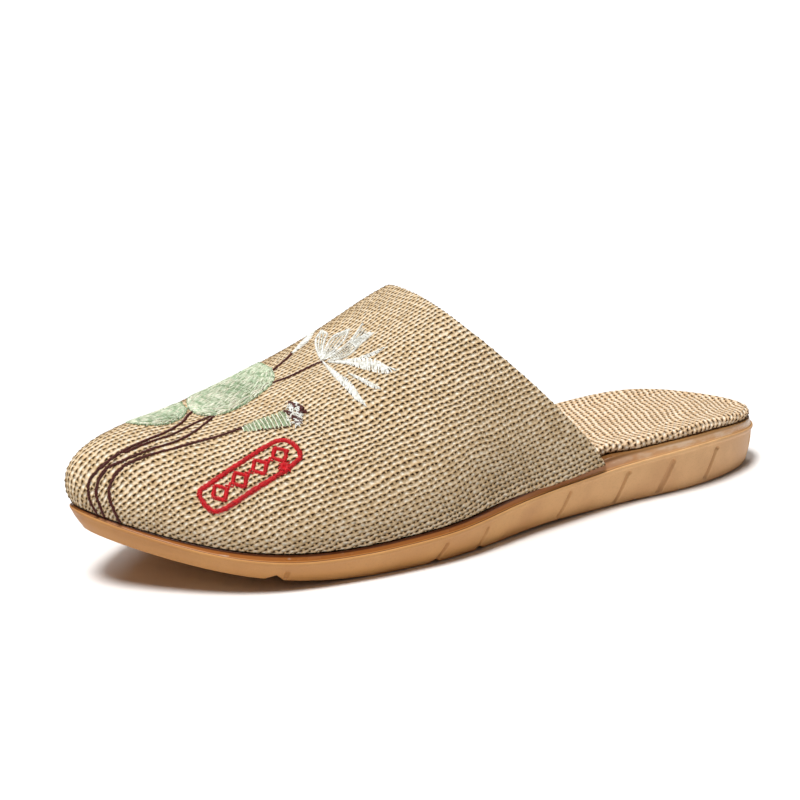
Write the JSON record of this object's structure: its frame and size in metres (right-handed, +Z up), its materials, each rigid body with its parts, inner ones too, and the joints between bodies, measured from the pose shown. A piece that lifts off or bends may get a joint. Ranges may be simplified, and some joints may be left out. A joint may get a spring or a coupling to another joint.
{
  "type": "slip-on slipper",
  "caption": "Left backless slipper: woven closed-toe upper over a cushioned insole and a moulded wedge sole with a raised heel and toe spring.",
  "frame": {"origin": "on the floor under the middle of the slipper's bounding box", "axes": "+X towards the heel, -X towards the toe, -Y towards the outer side of the foot, +Z up"},
  "size_m": [0.2688, 0.1004, 0.0828],
  "materials": {
    "sole": "moulded, tan, satin",
    "insole": "coarse cream weave over foam",
    "upper": "coarse natural linen weave, embroidered"
  },
  "bodies": {
    "root": {"sole": "sole", "insole": "insole", "upper": "upper"}
  },
  "joints": []
}
